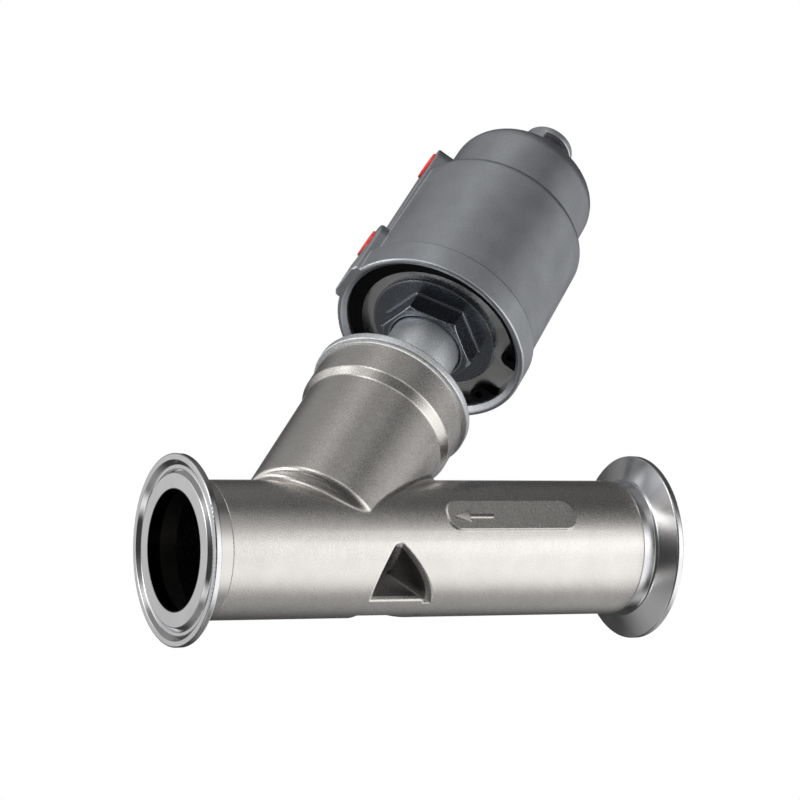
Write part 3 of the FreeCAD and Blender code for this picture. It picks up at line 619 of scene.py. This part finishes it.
class VALVE_OT_finish_soft_parts(bpy.types.Operator):
    """Red port caps and indicator, and the seals and packing"""

    bl_idname = "valve.finish_soft_parts"
    bl_label = "Finish the plastic and rubber pieces"

    def execute(self, context):
        look = context.scene.valve_soft_parts
        caps = moulded_plastic("red_cap", look.cap_colour, 0.38, 0.3)
        indicator = moulded_plastic("red_indicator", look.indicator_colour, 0.35, 0.2)
        white = soft_seal("white_seal", look.white_colour, 0.5)
        black = soft_seal("black_seal", look.black_colour, 0.55)
        dress(caps, "lower_port_cap", "upper_port_cap")
        dress(indicator, "indicator")
        dress(white, "bonnet_gasket", "seat_seal", "piston_guide_ring")
        dress(white, *["packing_ring_%d" % number for number in range(1, 5)])
        dress(black, "cover_seal", "piston_seal", "wiper")
        return {"FINISHED"}


class VALVE_OT_add_arrow(bpy.types.Operator):
    """Flow arrow cast on the marking pad"""

    bl_idname = "valve.add_arrow"
    bl_label = "Add the flow arrow"

    def execute(self, context):
        sizes = context.scene.valve_arrow
        half_width = sizes.shaft_width / 2
        front = -sizes.pad_face
        low = Vector((sizes.tip + sizes.head, front, sizes.height - half_width))
        high = Vector((sizes.tip + sizes.length, front, sizes.height + half_width))
        deselect()
        bpy.ops.mesh.primitive_plane_add(
            size=1.0, location=(low + high) / 2, rotation=(math.pi / 2, 0.0, 0.0))
        arrow = context.object
        arrow.name = "flow_arrow"
        arrow.dimensions = (high.x - low.x, high.z - low.z, 0.0)
        bpy.ops.object.transform_apply(location=True, rotation=True, scale=True)
        widen_head(arrow, low.x, sizes)
        raise_arrow(arrow, sizes.rise)
        arrow.data.materials.append(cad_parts["valve_body"].data.materials[0])
        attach(arrow, "valve")
        return {"FINISHED"}


SAME_PLACE = 1e-5
SAME_VERTEX = 1e-6
SMOOTH_BELOW = math.radians(40.0)


def widen_head(arrow, head_back, sizes):
    """Extrudes the head out of the shaft's left edge and closes it to a tip."""
    bpy.ops.object.mode_set(mode="EDIT")
    bpy.ops.mesh.select_mode(type="EDGE")
    select_vertices(arrow, lambda place: abs(place.x - head_back) < SAME_PLACE)
    bpy.ops.mesh.extrude_edges_move()
    widen = sizes.head_width / sizes.shaft_width
    bpy.ops.transform.resize(value=(1.0, 1.0, widen))
    bpy.ops.mesh.extrude_edges_move(
        TRANSFORM_OT_translate={"value": (-sizes.head, 0.0, 0.0)})
    bpy.ops.mesh.merge(type="CENTER")
    bpy.ops.mesh.select_all(action="SELECT")
    bpy.ops.mesh.normals_make_consistent(inside=False)
    bpy.ops.object.mode_set(mode="OBJECT")


def raise_arrow(arrow, rise):
    """Gives the flat arrow its height, with soft top edges."""
    bpy.ops.object.mode_set(mode="EDIT")
    bpy.ops.mesh.select_all(action="SELECT")
    bpy.ops.mesh.extrude_region_move(TRANSFORM_OT_translate={"value": (0.0, -rise, 0.0)})
    bpy.ops.mesh.select_all(action="SELECT")
    bpy.ops.mesh.remove_doubles(threshold=SAME_VERTEX)
    bpy.ops.mesh.normals_make_consistent(inside=False)
    bpy.ops.object.mode_set(mode="OBJECT")
    bevel = arrow.modifiers.new("soft_edges", "BEVEL")
    bevel.width = rise * 0.5
    bevel.segments = 3
    bpy.ops.object.modifier_apply(modifier=bevel.name)
    bpy.ops.object.shade_smooth_by_angle(angle=SMOOTH_BELOW)


def select_vertices(piece, is_chosen):
    """In edit mode, selects the vertices whose place is chosen."""
    mesh = bmesh.from_edit_mesh(piece.data)
    for vertex in mesh.verts:
        vertex.select_set(is_chosen(vertex.co))
    for edge in mesh.edges:
        edge.select_set(all(vertex.select for vertex in edge.verts))
    mesh.select_flush_mode()
    bmesh.update_edit_mesh(piece.data)


CAMERA_RIGHT = Vector((0.8750, -0.4221, -0.2369))
CAMERA_UP = Vector((-0.0137, -0.5108, 0.8596))
CAMERA_AHEAD = Vector((0.4839, 0.7489, 0.4527))
SENSOR_WIDTH = 36.0
FAR_CLIP = 20.0


def studio_direction(right, up, ahead):
    """Direction given as seen by the camera at its place."""
    return (CAMERA_RIGHT * right + CAMERA_UP * up + CAMERA_AHEAD * ahead).normalized()


def add_camera(studio):
    """Camera at the photograph's place, looking up at the valve."""
    camera = bpy.data.objects.new("camera", bpy.data.cameras.new("camera"))
    bpy.context.scene.collection.objects.link(camera)
    ahead = CAMERA_AHEAD.normalized()
    right = (CAMERA_RIGHT - CAMERA_RIGHT.dot(ahead) * ahead).normalized()
    up = right.cross(ahead)
    turn = Matrix((right, up, -ahead)).transposed().to_4x4()
    camera.matrix_world = Matrix.Translation(Vector(studio.place)) @ turn
    camera.data.lens = studio.lens
    camera.data.sensor_width = SENSOR_WIDTH
    camera.data.clip_end = FAR_CLIP
    bpy.context.scene.camera = camera


# Softboxes round the valve: where each hangs, seen from the camera as right, up and ahead,
# half the angle that it fills and the width of its soft edge in degrees, and its strength
SOFTBOXES = {
    "right_wall": ((0.88, 0.25, -0.39), 15.0, 15.0, 1.31),
    "right_low": ((0.92, -0.35, -0.18), 35.0, 15.0, 1.36),
    "left_strip": ((-0.85, 0.41, -0.32), 9.0, 15.0, 6.2),
    "top": ((-0.24, 0.90, -0.36), 9.0, 15.0, 3.76),
    "upper_right": ((0.45, 0.75, -0.48), 11.0, 15.0, 1.28),
    "ceiling": ((-0.57, 0.82, -0.01), 54.0, 15.0, 0.26),
    "left_back": ((-0.85, 0.01, 0.53), 10.0, 7.0, 0.65),
    "low_left": ((-0.85, -0.53, 0.02), 21.0, 15.0, 0.42),
    "back_right": ((0.63, -0.54, 0.56), 25.0, 15.0, 0.72),
    "left_upper": ((-0.96, 0.20, 0.12), 20.0, 6.0, 0.9),
    "low_front": ((-0.74, -0.53, -0.42), 9.0, 8.0, 1.6),
    "front": ((-0.19, 0.30, -0.94), 11.0, 15.0, 0.15),
    "below": ((0.09, -1.0, 0.0), 12.0, 15.0, 1.14),
}
AMBIENT = 0.062
BACKDROP_HALF_ANGLE = 10.0
BACKDROP_EDGE = 3.0


def soft_patch(tree, direction, aim, half_angle, edge):
    """One round patch of the room, 1 inside and fading to 0 over its soft edge."""
    cosine = tree.nodes.new("ShaderNodeVectorMath")
    cosine.operation = "DOT_PRODUCT"
    cosine.inputs[1].default_value = studio_direction(*aim)
    tree.links.new(direction.outputs["Generated"], cosine.inputs[0])
    angle = tree.nodes.new("ShaderNodeMath")
    angle.operation = "ARCCOSINE"
    tree.links.new(cosine.outputs["Value"], angle.inputs[0])
    patch = tree.nodes.new("ShaderNodeMapRange")
    patch.interpolation_type = "SMOOTHSTEP"
    patch.inputs["From Min"].default_value = math.radians(half_angle + edge)
    patch.inputs["From Max"].default_value = math.radians(half_angle - edge)
    tree.links.new(angle.outputs["Value"], patch.inputs["Value"])
    return patch


def combine(tree, operation, first, second):
    """Two values joined by one sum, product or choice."""
    node = tree.nodes.new("ShaderNodeMath")
    node.operation = operation
    for place, value in enumerate((first, second)):
        if isinstance(value, float):
            node.inputs[place].default_value = value
        else:
            tree.links.new(value, node.inputs[place])
    return node.outputs["Value"]


def add_world():
    """Studio room: softboxes on grey walls, and a white backdrop behind the valve."""
    world = bpy.data.worlds.new("studio")
    bpy.context.scene.world = world
    world.use_nodes = True
    tree = world.node_tree
    tree.nodes.clear()
    output = tree.nodes.new("ShaderNodeOutputWorld")
    mix = tree.nodes.new("ShaderNodeMixShader")
    path = tree.nodes.new("ShaderNodeLightPath")
    white = tree.nodes.new("ShaderNodeBackground")
    room = tree.nodes.new("ShaderNodeBackground")
    direction = tree.nodes.new("ShaderNodeTexCoord")
    total = AMBIENT
    for name, (aim, half_angle, edge, strength) in SOFTBOXES.items():
        patch = soft_patch(tree, direction, aim, half_angle, edge)
        patch.label = name
        patch.inputs["To Max"].default_value = strength
        total = combine(tree, "ADD", patch.outputs["Result"], total)
    tree.links.new(total, room.inputs["Strength"])
    for background in (white, room):
        background.inputs["Color"].default_value = (1.0, 1.0, 1.0, 1.0)
    behind = soft_patch(tree, direction, (0.0, 0.0, 1.0), BACKDROP_HALF_ANGLE, BACKDROP_EDGE)
    mirrored = combine(tree, "MULTIPLY", path.outputs["Is Glossy Ray"], behind.outputs["Result"])
    seen = combine(
        tree, "MAXIMUM", path.outputs["Is Camera Ray"], path.outputs["Is Transmission Ray"])
    tree.links.new(combine(tree, "MAXIMUM", seen, mirrored), mix.inputs["Fac"])
    tree.links.new(room.outputs["Background"], mix.inputs[1])
    tree.links.new(white.outputs["Background"], mix.inputs[2])
    tree.links.new(mix.outputs["Shader"], output.inputs["Surface"])


FILL_AIM = (0.15, 0.6, -0.78)
FILL_DISTANCE = 0.6
FILL_SIZE = 0.25


def add_fill(power):
    """Weak lamp in front of the valve that lights hollows and plastic, but shows in no metal."""
    lamp = bpy.data.lights.new("fill", "AREA")
    lamp.size = FILL_SIZE
    lamp.energy = power
    fill = bpy.data.objects.new("fill", lamp)
    bpy.context.scene.collection.objects.link(fill)
    aim = studio_direction(*FILL_AIM)
    fill.location = aim * FILL_DISTANCE
    fill.rotation_euler = aim.to_track_quat("Z", "Y").to_euler()
    fill.visible_glossy = False
    fill.visible_camera = False


FLOOR_GAP = 0.0003
FLOOR_GLOW = 0.4
FLOOR_CORNERS = 96


def add_floor(studio):
    """Pale round floor under the valve, open to a camera that looks from below."""
    low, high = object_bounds()
    middle = (Vector(low) + Vector(high)) / 2
    deselect()
    bpy.ops.mesh.primitive_circle_add(
        vertices=FLOOR_CORNERS, radius=studio.floor_radius, fill_type="TRIFAN",
        location=(middle.x, middle.y, low[2] - FLOOR_GAP))
    floor = bpy.context.object
    floor.name = "floor"
    bpy.ops.object.transform_apply(location=True, rotation=True, scale=True)
    floor.data.materials.append(floor_finish(middle, studio))
    floor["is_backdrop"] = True


def floor_finish(middle, studio):
    """Pale matte floor that only the camera sees, and only from above, fading outwards."""
    finish = Finish("pale_floor")
    finish.surface((0.9, 0.9, 0.9), 0.0, 0.9)
    finish.shader.inputs["Specular IOR Level"].default_value = 0.0
    finish.shader.inputs["Emission Color"].default_value = (1.0, 1.0, 1.0, 1.0)
    finish.shader.inputs["Emission Strength"].default_value = FLOOR_GLOW
    centre = finish.add("VectorMath", operation="SUBTRACT")
    centre.inputs[1].default_value = (middle.x, middle.y, 0.0)
    finish.join(*finish.place(), centre, 0)
    distance, parts = finish.from_axis((centre, "Vector"), "Z")
    fade = finish.spread(distance, "Value", studio.floor_fade, studio.floor_radius, 0.0, 1.0)
    side = finish.add("NewGeometry")
    path = finish.add("LightPath")
    unseen = combine(finish.tree, "SUBTRACT", 1.0, path.outputs["Is Camera Ray"])
    opening = combine(finish.tree, "MAXIMUM", side.outputs["Backfacing"], unseen)
    opening = combine(finish.tree, "MAXIMUM", opening, fade.outputs["Result"])
    clear = finish.add("BsdfTransparent")
    mix = finish.add("MixShader")
    finish.tree.links.new(opening, mix.inputs["Fac"])
    finish.join(finish.shader, "BSDF", mix, 1)
    finish.join(clear, "BSDF", mix, 2)
    finish.join(mix, "Shader", finish.output, "Surface")
    return finish.material


class VALVE_OT_add_studio(bpy.types.Operator):
    """Camera, softboxes, white backdrop, fill lamp and pale floor"""

    bl_idname = "valve.add_studio"
    bl_label = "Add the studio"

    def execute(self, context):
        studio = context.scene.valve_studio
        add_camera(studio)
        add_world()
        add_fill(studio.fill_power)
        add_floor(studio)
        context.scene.view_settings.view_transform = "Standard"
        return {"FINISHED"}


class VALVE_PT_panel(bpy.types.Panel):
    """Steps that finish and light the valve"""

    bl_idname = "VALVE_PT_panel"
    bl_label = "Angle Seat Valve"
    bl_space_type = "VIEW_3D"
    bl_region_type = "UI"
    bl_category = "Angle Seat Valve"

    def draw(self, context):
        for step in STEPS:
            self.layout.operator(step.bl_idname)


STEPS = (
    VALVE_OT_finish_castings,
    VALVE_OT_finish_metal,
    VALVE_OT_finish_soft_parts,
    VALVE_OT_add_arrow,
    VALVE_OT_add_studio,
)
GROUPS = {
    "valve_castings": CastingSettings,
    "valve_metal": MetalSettings,
    "valve_soft_parts": SoftSettings,
    "valve_arrow": ArrowSettings,
    "valve_studio": StudioSettings,
}


def register():
    for name, group in GROUPS.items():
        bpy.utils.register_class(group)
        setattr(bpy.types.Scene, name, bpy.props.PointerProperty(type=group))
    for step in STEPS:
        bpy.utils.register_class(step)
    bpy.utils.register_class(VALVE_PT_panel)


def unregister():
    bpy.utils.unregister_class(VALVE_PT_panel)
    for step in reversed(STEPS):
        bpy.utils.unregister_class(step)
    for name, group in GROUPS.items():
        delattr(bpy.types.Scene, name)
        bpy.utils.unregister_class(group)


def main():
    """Registers the add-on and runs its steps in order."""
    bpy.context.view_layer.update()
    register()
    bpy.ops.valve.finish_castings()
    bpy.ops.valve.finish_metal()
    bpy.ops.valve.finish_soft_parts()
    bpy.ops.valve.add_arrow()
    bpy.ops.valve.add_studio()


if __name__ == "__main__":
    main()
